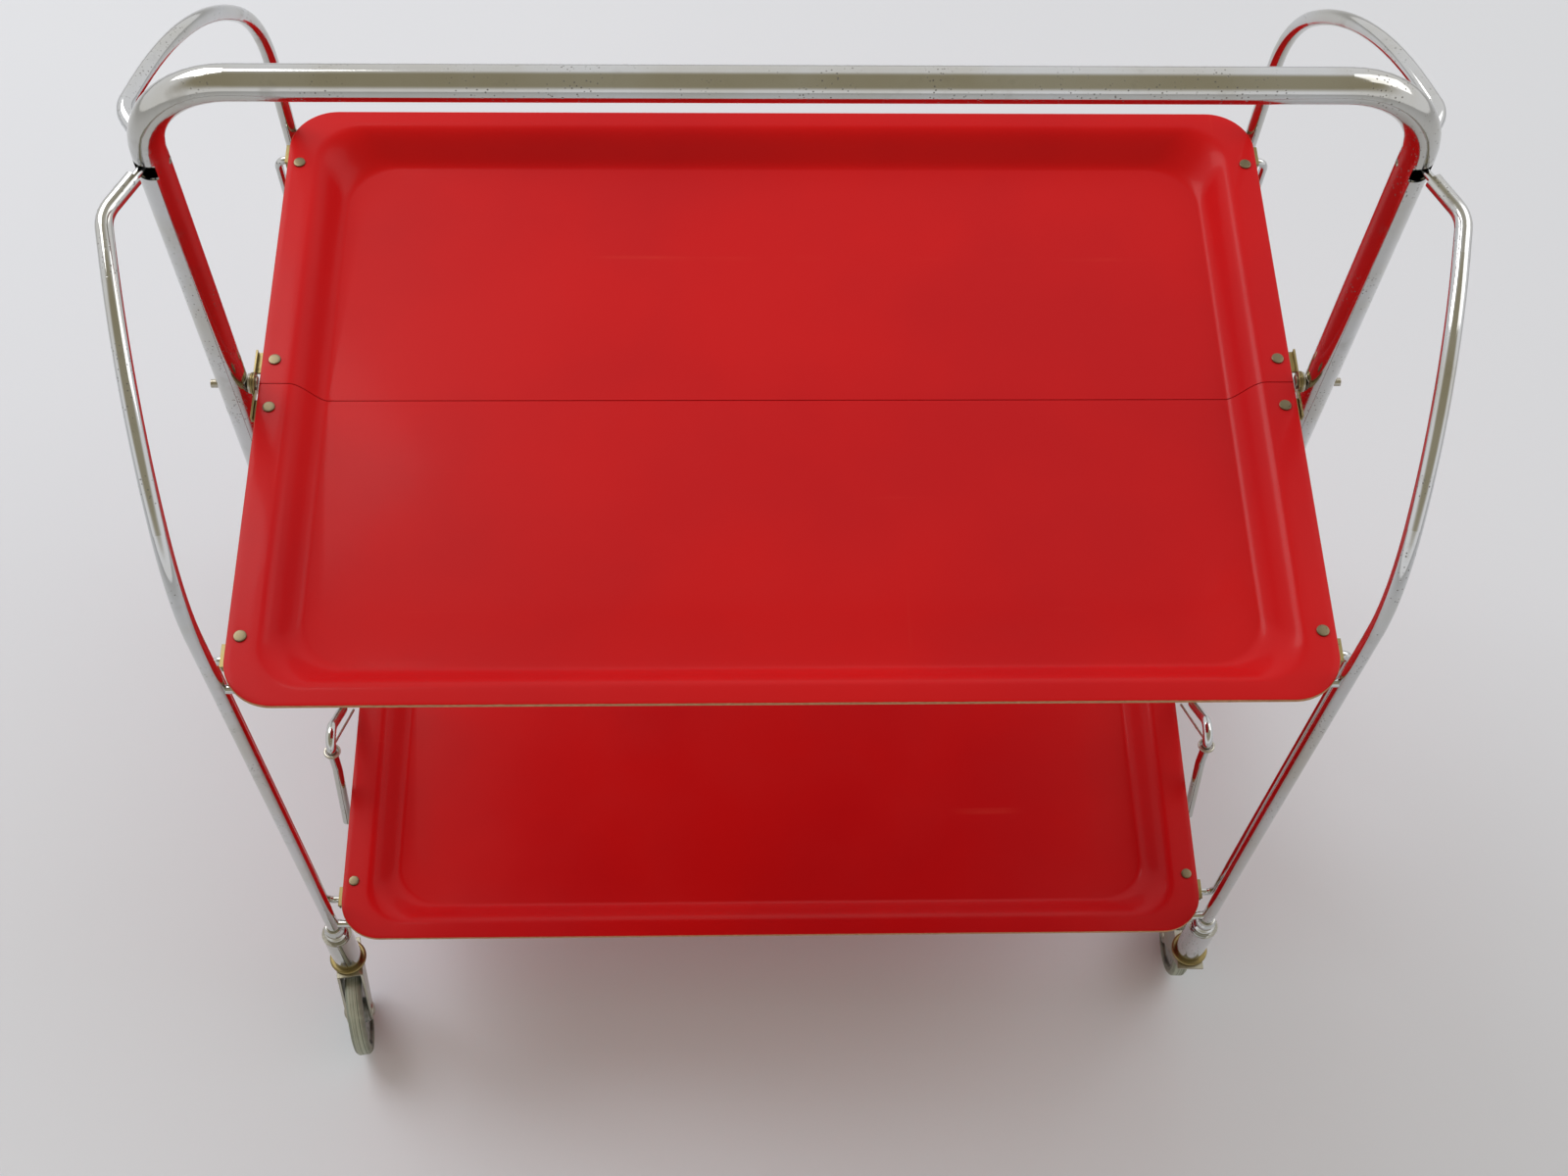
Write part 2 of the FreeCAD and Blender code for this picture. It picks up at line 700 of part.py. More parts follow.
def all_nodes():
    """Every piece of the cart by its name."""
    nodes = {
        "handle_tube": handle_tube(),
        "upper_hinge_pins": hinge_pins(rim_height),
        "lower_hinge_pins": hinge_pins(lower_rim),
        "hinge_washers": hinge_washers(),
        "leg_pivot_pins": pivot_pins(),
        "tube_end_caps": tube_caps(),
        "stay_rods": stay_rods(),
        "stay_hooks": stay_hooks(),
    }
    for level, (rim, width) in LEVELS.items():
        bore_clear = run_clear if level == "upper" else open_clear
        for end in ENDS:
            nodes[f"{level}_{end}_tray_half"] = tray_half(width, rim, end)
            nodes[f"{level}_{end}_rivets"] = rivets(width, rim, end)
            nodes[f"{level}_{end}_hinge_brackets"] = hinge_brackets(width, rim, end)
            nodes[f"{level}_{end}_link_brackets"] = link_brackets(level, end, bore_clear)
    for end in ENDS:
        for side in SIDES:
            corner = f"{end}_{side}"
            leg_shape = leg(end, side)
            nodes[f"{corner}_link_rod"] = link_rod(end, side)
            nodes[f"{corner}_leg"] = leg_shape
            nodes[f"{corner}_leg_pegs"] = leg_pegs(end, side, leg_shape)
            for name, shape in caster_pieces(end, side).items():
                nodes[f"{corner}_caster_{name}"] = shape
    return nodes


def main():
    os.makedirs("parts", exist_ok=True)
    for name, shape in all_nodes().items():
        solids = shape.Solids
        print(f"{name}: {len(solids)} solids, valid {shape.isValid()}, {shape.Volume / 1000:.2f} cm3")
        shape.exportStep(f"parts/{name}.step")


main()
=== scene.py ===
"""Looks of a folding bar cart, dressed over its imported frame. Metres, floor at Z = 0, front towards -Y."""

import json
import logging
import math
from dataclasses import dataclass
from enum import Enum

import bmesh
import bpy
import numpy as np
from mathutils import Matrix, Vector

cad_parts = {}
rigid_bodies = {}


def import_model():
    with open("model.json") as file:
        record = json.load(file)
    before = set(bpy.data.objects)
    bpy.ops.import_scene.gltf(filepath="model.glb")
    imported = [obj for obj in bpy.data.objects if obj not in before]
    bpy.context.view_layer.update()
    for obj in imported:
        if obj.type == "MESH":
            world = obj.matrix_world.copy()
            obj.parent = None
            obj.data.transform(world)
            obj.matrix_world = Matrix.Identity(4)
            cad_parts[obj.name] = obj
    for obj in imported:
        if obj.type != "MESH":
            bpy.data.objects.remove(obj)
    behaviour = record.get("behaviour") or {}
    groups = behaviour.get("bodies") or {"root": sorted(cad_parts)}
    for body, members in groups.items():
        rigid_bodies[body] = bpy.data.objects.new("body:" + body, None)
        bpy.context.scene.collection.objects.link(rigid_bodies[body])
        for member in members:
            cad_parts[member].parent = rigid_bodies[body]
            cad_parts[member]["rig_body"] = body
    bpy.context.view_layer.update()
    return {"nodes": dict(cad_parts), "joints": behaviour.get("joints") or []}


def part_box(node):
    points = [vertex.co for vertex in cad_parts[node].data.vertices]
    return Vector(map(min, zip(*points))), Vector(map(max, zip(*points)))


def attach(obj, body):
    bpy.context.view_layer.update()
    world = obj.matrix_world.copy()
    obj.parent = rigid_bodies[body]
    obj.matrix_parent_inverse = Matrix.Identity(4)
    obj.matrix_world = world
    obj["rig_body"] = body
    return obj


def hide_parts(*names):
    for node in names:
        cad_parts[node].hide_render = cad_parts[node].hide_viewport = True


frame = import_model()

LOG = logging.getLogger("bar_cart")
MERGE_DISTANCE = 1e-6
SHARP_ANGLE = math.radians(32.0)
NEARLY_STRAIGHT = 1e-4
ARC_STEPS = 6
NOISE_MIDDLE = 0.5
MIX_FACTOR, MIX_FIRST, MIX_SECOND, MIX_RESULT = 0, 6, 7, 2
UPRIGHT = np.array([0.0, 0.0, 1.0])
Colour = tuple[float, float, float]
Point = tuple[float, float, float]
Band = tuple[float, float]
UNSTRETCHED: Point = (1.0, 1.0, 1.0)


class Level(Enum):
    """The two trays."""

    UPPER = "upper"
    LOWER = "lower"


class End(Enum):
    """The two halves of a tray, with the sign of their Y."""

    FRONT = -1
    REAR = 1

    @property
    def word(self) -> str:
        """Name of the end as the frame writes it."""
        return self.name.lower()


class Side(Enum):
    """Left and right of the cart, with the sign of their X."""

    LEFT = -1
    RIGHT = 1

    @property
    def word(self) -> str:
        """Name of the side as the frame writes it."""
        return self.name.lower()


def linear(red: int, green: int, blue: int) -> Colour:
    """Display colour of 0 to 255 a channel as linear light.

    Args:
        red: red channel.
        green: green channel.
        blue: blue channel.

    Returns:
        The three linear channels.
    """
    share = np.array([red, green, blue]) / 255.0
    low = share / 12.92
    high = ((share + 0.055) / 1.055) ** 2.4
    return tuple(float(value) for value in np.where(share <= 0.04045, low, high))


@dataclass(frozen=True)
class Grain:
    """Noise on a piece: waves per metre, octaves, stretch along each axis and the band that is ramped."""

    scale: float
    detail: float = 3.0
    stretch: Point = UNSTRETCHED
    rough: float = 0.5
    band: Band | None = None


@dataclass(frozen=True)
class Relief:
    """How far and how strongly a surface is raised."""

    distance: float
    strength: float


class Value:
    """A shader socket that takes part in Python expressions, each operator adding one Math node."""

    def __init__(self, shader: "Shader", socket: bpy.types.NodeSocket) -> None:
        """Keeps the socket and the shader that owns it."""
        self.shader = shader
        self.socket = socket

    def _math(self, operation: str, *operands: "Value | float") -> "Value":
        """Math node of that operation on the operands."""
        return self.shader.node("ShaderNodeMath", {"operation": operation}, dict(enumerate(operands)))

    def __add__(self, other: "Value | float") -> "Value":
        """Sum."""
        return self._math("ADD", self, other)

    __radd__ = __add__

    def __sub__(self, other: "Value | float") -> "Value":
        """Difference."""
        return self._math("SUBTRACT", self, other)

    def __rsub__(self, other: float) -> "Value":
        """Difference from a number."""
        return self._math("SUBTRACT", other, self)

    def __mul__(self, other: "Value | float") -> "Value":
        """Product."""
        return self._math("MULTIPLY", self, other)

    __rmul__ = __mul__

    def ramp(self, low: float, high: float) -> "Value":
        """Zero below low, one above high and a smooth step between them."""
        return self.shader.node("ShaderNodeMapRange", {"interpolation_type": "SMOOTHSTEP"},
                                {"Value": self, "From Min": low, "From Max": high})


class Shader:
    """Node tree of one material or world, where a single method adds any node."""

    def __init__(self, owner: bpy.types.Material | bpy.types.World) -> None:
        """Empties the owner's tree."""
        self.owner = owner
        owner.use_nodes = True
        self.tree = owner.node_tree
        self.tree.nodes.clear()

    @classmethod
    def of_material(cls, name: str) -> "Shader":
        """Starts an empty material of that name."""
        return cls(bpy.data.materials.new(name))

    def node(self, kind: str, settings: dict | None = None, inputs: dict | None = None,
             output: int | str = 0) -> Value | None:
        """Adds one node.

        Args:
            kind: node type.
            settings: properties, set first.
            inputs: numbers, colours or values by socket name or number.
            output: name or number of the socket to give back.

        Returns:
            The chosen output socket, or nothing from a node that ends the tree.
        """
        made = self.tree.nodes.new(kind)
        for key, setting in (settings or {}).items():
            setattr(made, key, setting)
        for key, given in (inputs or {}).items():
            if isinstance(given, Value):
                self.tree.links.new(given.socket, made.inputs[key])
            else:
                made.inputs[key].default_value = given
        return Value(self, made.outputs[output]) if made.outputs else None

    def place(self, stretch: Point = UNSTRETCHED) -> Value:
        """Object coordinates, multiplied along each axis."""
        coordinates = self.node("ShaderNodeTexCoord", output="Object")
        return self.node("ShaderNodeMapping", inputs={"Vector": coordinates, "Scale": stretch})

    def noise(self, grain: Grain) -> Value:
        """Noise on Object coordinates, ramped where the grain has a band."""
        noise = self.node("ShaderNodeTexNoise", inputs={
            "Vector": self.place(grain.stretch), "Scale": grain.scale, "Detail": grain.detail,
            "Roughness": grain.rough})
        return noise.ramp(*grain.band) if grain.band else noise

    def specks(self, scale: float, band: Band) -> Value:
        """Zero on scattered points and one away from them, in cells per metre."""
        cells = self.node("ShaderNodeTexVoronoi", inputs={"Vector": self.place(), "Scale": scale})
        return cells.ramp(*band)

    def attribute(self, name: str) -> Value:
        """A value stored on the points of the piece."""
        return self.node("ShaderNodeAttribute", {"attribute_name": name}, output="Fac")

    def mix(self, factor: Value, first: "Value | Colour", second: "Value | Colour") -> Value:
        """Colour that goes from the first to the second as the factor rises."""
        colours = [c if isinstance(c, Value) else (*c, 1.0) for c in (first, second)]
        return self.node("ShaderNodeMix", {"data_type": "RGBA"},
                         {MIX_FACTOR: factor, MIX_FIRST: colours[0], MIX_SECOND: colours[1]},
                         output=MIX_RESULT)

    def bump(self, height: Value, relief: Relief, under: Value | None = None) -> Value:
        """Normal of a surface raised by the height, over the normal under it."""
        inputs = {"Height": height, "Distance": relief.distance, "Strength": relief.strength}
        if under is not None:
            inputs["Normal"] = under
        return self.node("ShaderNodeBump", inputs=inputs)

    def surface(self, inputs: dict) -> bpy.types.Material:
        """Ends the tree with a Principled shader of these inputs."""
        shader = self.node("ShaderNodeBsdfPrincipled", inputs=inputs)
        self.node("ShaderNodeOutputMaterial", inputs={"Surface": shader})
        return self.owner


@dataclass(frozen=True)
class LacquerFinish:
    """Baked lacquer on a pressed tray, worn to the bare fibre board along its outer edge."""

    name: str = "tray_lacquer"
    colour: Colour = linear(202, 16, 18)
    deep: Colour = linear(184, 12, 20)
    scuff: Colour = linear(232, 96, 72)
    fibre: Colour = linear(208, 164, 122)
    fibre_dark: Colour = linear(140, 96, 68)
    drift: Grain = Grain(5.0, 4.0, band=(0.34, 0.68))
    drift_share: float = 0.6
    hair_along: Grain = Grain(34.0, 2.0, (0.08, 3.2, 1.0), band=(0.69, 0.76))
    hair_across: Grain = Grain(30.0, 2.0, (2.6, 0.07, 1.0), band=(0.71, 0.78))
    patches: Grain = Grain(11.0, band=(0.5, 0.72))
    scuff_share: float = 0.1
    dust_scale: float = 170.0
    dust_band: Band = (0.05, 0.13)
    dust_share: float = 0.18
    fibre_grain: Grain = Grain(420.0, 2.0, (1.0, 1.0, 3.0))
    chip_grain: Grain = Grain(160.0)
    chip_spread: float = 0.5
    chip_band: Band = (0.42, 0.6)
    smudges: Grain = Grain(16.0, 5.0, band=(0.35, 0.75))
    roughness: float = 0.32
    smudge_rough: float = 0.08
    scuff_rough: float = 0.06
    chip_rough: float = 0.3
    peel_grain: Grain = Grain(620.0, 1.0)
    peel: Relief = Relief(0.00004, 0.35)
    scratch: Relief = Relief(0.00003, 0.3)
    coat: float = 0.07
    coat_roughness: float = 0.1
    specular: float = 0.12

    def build(self) -> bpy.types.Material:
        """Shader with slow colour drift, hairline scuffs, orange peel and the bare edge."""
        shader = Shader.of_material(self.name)
        body = shader.mix(shader.noise(self.drift) * self.drift_share, self.colour, self.deep)
        patches = shader.noise(self.patches)
        hair = (shader.noise(self.hair_along) + shader.noise(self.hair_across)) * patches
        scuffed = shader.mix(hair * self.scuff_share, body, self.scuff)
        dust = (1 - shader.specks(self.dust_scale, self.dust_band)) * patches
        dusted = shader.mix(dust * self.dust_share, scuffed, self.deep)
        fibre = shader.mix(shader.noise(self.fibre_grain), self.fibre, self.fibre_dark)
        ragged = shader.noise(self.chip_grain) * self.chip_spread - self.chip_spread * NOISE_MIDDLE
        chips = (shader.attribute("bare_edge") + ragged).ramp(*self.chip_band)
        smudges = shader.noise(self.smudges)
        roughness = (self.roughness + smudges * self.smudge_rough + hair * self.scuff_rough
                     + chips * self.chip_rough)
        peel = shader.bump(shader.noise(self.peel_grain), self.peel)
        return shader.surface({
            "Base Color": shader.mix(chips, dusted, fibre), "Roughness": roughness,
            "Normal": shader.bump(hair, self.scratch, peel), "Coat Weight": self.coat - chips * self.coat,
            "Coat Roughness": self.coat_roughness, "Specular IOR Level": self.specular})


@dataclass(frozen=True)
class PlatedFinish:
    """Plated metal: a base tone that drifts to a tint, dull stains, pits and fine polishing lines."""

    name: str
    tone: Colour
    tint: Colour
    stain: Colour
    roughness: float
    drift_scale: float = 14.0
    drift_detail: float = 4.0
    drift_band: Band = (0.36, 0.66)
    tint_share: float = 0.5
    clouds: Grain = Grain(46.0, 6.0, rough=0.62, band=(0.56, 0.74))
    stain_share: float = 0.35
    stain_rough: float = 0.14
    pit: Colour = linear(58, 48, 38)
    pit_scale: float = 420.0
    pit_band: Band = (0.1, 0.26)
    pit_patches: Grain = Grain(26.0, 2.0, band=(0.48, 0.6))
    pit_share: float = 0.75
    pit_rough: float = 0.2
    pit_dullness: float = 0.35
    pitting: Relief = Relief(0.00006, 0.5)
    lines: Grain = Grain(900.0, 2.0, (1.0, 1.0, 0.06))
    line_rough: float = 0.05
    polish: Relief = Relief(0.00002, 0.25)

    def build(self) -> bpy.types.Material:
        """Shader of the plating."""
        shader = Shader.of_material(self.name)
        drift = shader.noise(Grain(self.drift_scale, self.drift_detail, band=self.drift_band))
        plated = shader.mix(drift * self.tint_share, self.tone, self.tint)
        clouds = shader.noise(self.clouds)
        pits = (1 - shader.specks(self.pit_scale, self.pit_band)) * shader.noise(self.pit_patches)
        worn = shader.mix(clouds * self.stain_share, plated, self.stain)
        lines = shader.noise(self.lines)
        roughness = (self.roughness + clouds * self.stain_rough + pits * self.pit_rough
                     + (lines - NOISE_MIDDLE) * self.line_rough)
        polished = shader.bump(lines, self.polish)
        return shader.surface({
            "Base Color": shader.mix(pits * self.pit_share, worn, self.pit),
            "Metallic": 1.0 - pits * self.pit_dullness, "Roughness": roughness,
            "Normal": shader.bump(1 - pits, self.pitting, polished)})


@dataclass(frozen=True)
class WheelFinish:
    """Grey moulded wheel, rubbed pale along the tread and soiled towards the hub."""

    name: str = "wheel_grey"
    body: Colour = linear(118, 122, 108)
    dark: Colour = linear(60, 62, 54)
    rubbed: Colour = linear(178, 182, 164)
    disc: Colour = linear(150, 152, 148)
    grain: Grain = Grain(95.0, 5.0, rough=0.6)
    dark_band: Band = (0.32, 0.7)
    soil: Grain = Grain(240.0, 4.0, band=(0.42, 0.7))
    soil_share: float = 0.6
    lane_scale: float = 1100.0
    lane_drift: Grain = Grain(26.0, 2.0)
    lane_drift_share: float = 2.0
    lane_detail: float = 3.0
    scuff_lines: float = 1.1
    scuff_grain: float = 0.4
    scuff_floor: float = 0.2
    scuff_band: Band = (0.36, 0.66)
    scuff_share: float = 0.85
    nick_scale: float = 310.0
    nick_band: Band = (0.04, 0.3)
    nick_height: float = 0.5
    grain_height: float = 0.6
    relief: Relief = Relief(0.0003, 0.5)
    roughness: float = 0.52
    soil_rough: float = 0.2
    scuff_rough: float = 0.1

    def tread_lines(self, shader: Shader) -> Value:
        """Noise that runs along the lanes of the tread and breaks up slowly on the way."""
        lane = shader.attribute("lane") * self.lane_scale
        along = shader.noise(self.lane_drift) * self.lane_drift_share
        line = shader.node("ShaderNodeCombineXYZ", inputs={"X": lane, "Y": along})
        return shader.node("ShaderNodeTexNoise", inputs={
            "Vector": line, "Scale": 1.0, "Detail": self.lane_detail})

    def build(self) -> bpy.types.Material:
        """Shader that reads how far a point lies on the tread and on the side disc."""
        shader = Shader.of_material(self.name)
        grain = shader.noise(self.grain)
        soil = shader.noise(self.soil)
        base = shader.mix(grain.ramp(*self.dark_band), self.body, self.dark)
        tread = shader.attribute("tread")
        lines = self.tread_lines(shader)
        rubbing = lines * self.scuff_lines + grain * self.scuff_grain - self.scuff_floor
        scuffs = tread * rubbing.ramp(*self.scuff_band)
        worn = shader.mix(scuffs * self.scuff_share, base, self.rubbed)
        clean_disc = shader.attribute("disc") * (1 - soil * self.soil_share)
        nicks = shader.specks(self.nick_scale, self.nick_band)
        height = nicks * self.nick_height + grain * self.grain_height + lines * tread
        return shader.surface({
            "Base Color": shader.mix(clean_disc, worn, self.disc),
            "Roughness": self.roughness + soil * self.soil_rough + scuffs * self.scuff_rough,
            "Normal": shader.bump(height, self.relief)})


@dataclass(frozen=True)
class PlasticFinish:
    """Dull moulded plug."""

    name: str = "cap_plastic"
    colour: Colour = linear(46, 46, 48)
    worn: Colour = linear(86, 85, 84)
    rubbing: Grain = Grain(130.0, 4.0, band=(0.5, 0.75))
    rubbed_share: float = 0.6
    grain: Grain = Grain(1500.0, 2.0)
    roughness: float = 0.45
    grain_rough: float = 0.25
    relief: Relief = Relief(0.00005, 0.5)

    def build(self) -> bpy.types.Material:
        """Shader with moulding grain and rubbed patches."""
        shader = Shader.of_material(self.name)
        rubbed = shader.noise(self.rubbing) * self.rubbed_share
        grain = shader.noise(self.grain)
        return shader.surface({
            "Base Color": shader.mix(rubbed, self.colour, self.worn),
            "Roughness": self.roughness + grain * self.grain_rough,
            "Normal": shader.bump(grain, self.relief)})


@dataclass(frozen=True)
class FloorFinish:
    """Pale seamless floor."""

    name: str = "studio_floor"
    pale: Colour = linear(229, 232, 240)
    shade: Colour = linear(224, 227, 236)
    drift: Grain = Grain(1.4, 2.0)
    roughness: float = 0.85

    def build(self) -> bpy.types.Material:
        """Shader of matt paper with a faint drift of tone."""
        shader = Shader.of_material(self.name)
        tone = shader.mix(shader.noise(self.drift), self.pale, self.shade)
        return shader.surface({"Base Color": tone, "Roughness": self.roughness})


CHROME = PlatedFinish("chrome", linear(206, 207, 208), linear(188, 184, 172), linear(128, 122, 108), 0.1,
                      tint_share=0.6, stain_share=0.22)
YELLOW_ZINC = PlatedFinish("yellow_zinc", linear(150, 134, 90), linear(140, 128, 96), linear(94, 76, 48),
                           0.34, drift_scale=60.0, stain_share=0.55)
RIVET_ZINC = PlatedFinish("rivet_zinc", linear(128, 116, 92), linear(120, 110, 86), linear(82, 70, 50), 0.36,
                          drift_scale=90.0, stain_share=0.5)
FORK_ZINC = PlatedFinish("fork_zinc", linear(176, 174, 164), linear(160, 150, 124), linear(96, 88, 70), 0.34,
                         drift_scale=48.0, stain_share=0.6)
PIN_STEEL = PlatedFinish("pin_steel", linear(188, 184, 174), linear(168, 156, 128), linear(98, 84, 60), 0.28,
                         drift_scale=80.0, stain_share=0.55)


def grid_faces(rows: int, columns: int, start: int = 0, wrap: bool = False) -> np.ndarray:
    """Quads of a grid whose points are numbered row by row.

    Args:
        rows: points down the grid.
        columns: points along a row.
        start: number of the first point.
        wrap: True where the last column joins the first.

    Returns:
        An array of four point numbers a face.
    """
    row = np.arange(rows - 1)[:, None]
    column = np.arange(columns if wrap else columns - 1)[None, :]
    following = (column + 1) % columns
    corners = [row * columns + column, row * columns + following,
               (row + 1) * columns + following, (row + 1) * columns + column]
    return start + np.stack(np.broadcast_arrays(*corners), axis=-1).reshape(-1, 4)


def make_piece(name: str, points: np.ndarray, faces: np.ndarray,
               masks: dict[str, np.ndarray] | None = None) -> bpy.types.Object:
    """Closed piece from points and quads, with its seams merged and its faces turned outwards.

    Args:
        name: name of the piece.
        points: one row of X, Y, Z a point.
        faces: four point numbers a face.
        masks: values stored on the points, by name.

    Returns:
        The object, at the origin.
    """
    mesh = bpy.data.meshes.new(name)
    mesh.from_pydata(points.tolist(), [], faces.tolist())
    for key, values in (masks or {}).items():
        mesh.attributes.new(key, "FLOAT", "POINT").data.foreach_set("value", values.astype(np.float32))
    work = bmesh.new()
    work.from_mesh(mesh)
    bmesh.ops.remove_doubles(work, verts=work.verts, dist=MERGE_DISTANCE)
    bmesh.ops.dissolve_degenerate(work, edges=work.edges, dist=MERGE_DISTANCE)
    bmesh.ops.recalc_face_normals(work, faces=work.faces)
    work.to_mesh(mesh)
    work.free()
    mesh.shade_smooth()
    mesh.set_sharp_from_angle(angle=SHARP_ANGLE)
    piece = bpy.data.objects.new(name, mesh)
    bpy.context.scene.collection.objects.link(piece)
    return piece


def rounded_line(corners: list[tuple[float, float]], radii: list[float],
                 steps: int = ARC_STEPS) -> np.ndarray:
    """Line through corners in a plane, with each inner corner replaced by a tangent arc.

    The arc starts radius * tan(half the turn) before its corner and ends as far after it.

    Args:
        corners: points of the line.
        radii: radius at each inner corner, zero for a sharp one.
        steps: points on an arc.

    Returns:
        One row a point.
    """
    line = np.array(corners, float)
    parts = [line[:1]]
    for before, corner, after, radius in zip(line, line[1:], line[2:], radii):
        come = (corner - before) / np.linalg.norm(corner - before)
        leave = (after - corner) / np.linalg.norm(after - corner)
        half = math.acos(float(np.clip(come @ leave, -1.0, 1.0))) / 2
        if radius <= 0.0 or half < NEARLY_STRAIGHT:
            parts.append(corner[None, :])
            continue
        inwards = (leave - come) / np.linalg.norm(leave - come)
        centre = corner + inwards * (radius / math.cos(half))
        angle = np.linspace(-half, half, steps)[:, None]
        parts.append(centre - inwards * radius * np.cos(angle) + (leave + come)
                     / np.linalg.norm(leave + come) * radius * np.sin(angle))
    return np.concatenate([*parts, line[-1:]])


def lathe(profile: np.ndarray, centre: np.ndarray, axis: np.ndarray, sectors: int) -> np.ndarray:
    """Surface of revolution: each (radius, height) of the profile carried round the axis.

    Args:
        profile: one row of radius and height a point.
        centre: point of the axis at height zero.
        axis: direction of the axis.
        sectors: points round the axis.

    Returns:
        Points by profile row and sector.
    """
    axis = axis / np.linalg.norm(axis)
    helper = np.eye(3)[int(np.argmin(np.abs(axis)))]
    across = np.cross(axis, helper)
    across = across / np.linalg.norm(across)
    beside = np.cross(axis, across)
    turn = np.linspace(0.0, 2 * math.pi, sectors, endpoint=False)[:, None]
    ring = np.cos(turn) * across + np.sin(turn) * beside
    return centre + profile[:, 0, None, None] * ring[None] + profile[:, 1, None, None] * axis


def joint(name: str) -> dict:
    """The frame's joint of that name."""
    return next(entry for entry in frame["joints"] if entry["name"] == name)


